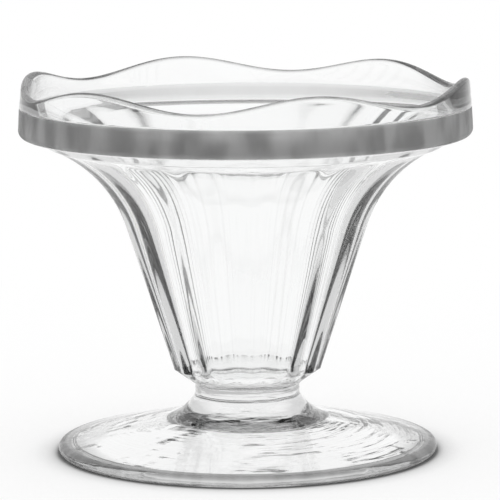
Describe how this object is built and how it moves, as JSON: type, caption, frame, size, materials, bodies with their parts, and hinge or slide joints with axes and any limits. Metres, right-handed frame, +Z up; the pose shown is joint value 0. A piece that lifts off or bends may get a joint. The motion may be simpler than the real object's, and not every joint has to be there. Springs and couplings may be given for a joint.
{
  "type": "parfait glass",
  "caption": "Low footed parfait glass in clear pressed glass: domed foot, short neck, fluted bowl flaring out to a plain collar, and a wavy rim round an open mouth.",
  "frame": {"origin": "on the table plane, under the middle of the foot", "axes": "+Z up along the glass's axis of turning; -Y is the side that the picture shows, +X to its right"},
  "size_m": [0.12, 0.12, 0.1004],
  "materials": {
    "foot": "clear, fire-polished",
    "neck": "clear, fire-polished",
    "bowl": "clear, fire-polished",
    "flare": "clear, fire-polished",
    "collar": "clear, fire-polished",
    "wavy_rim": "clear, fire-polished"
  },
  "bodies": {
    "root": {"foot": "foot", "neck": "neck", "bowl": "bowl", "flare": "flare", "collar": "collar", "wavy_rim": "wavy_rim"}
  },
  "joints": []
}
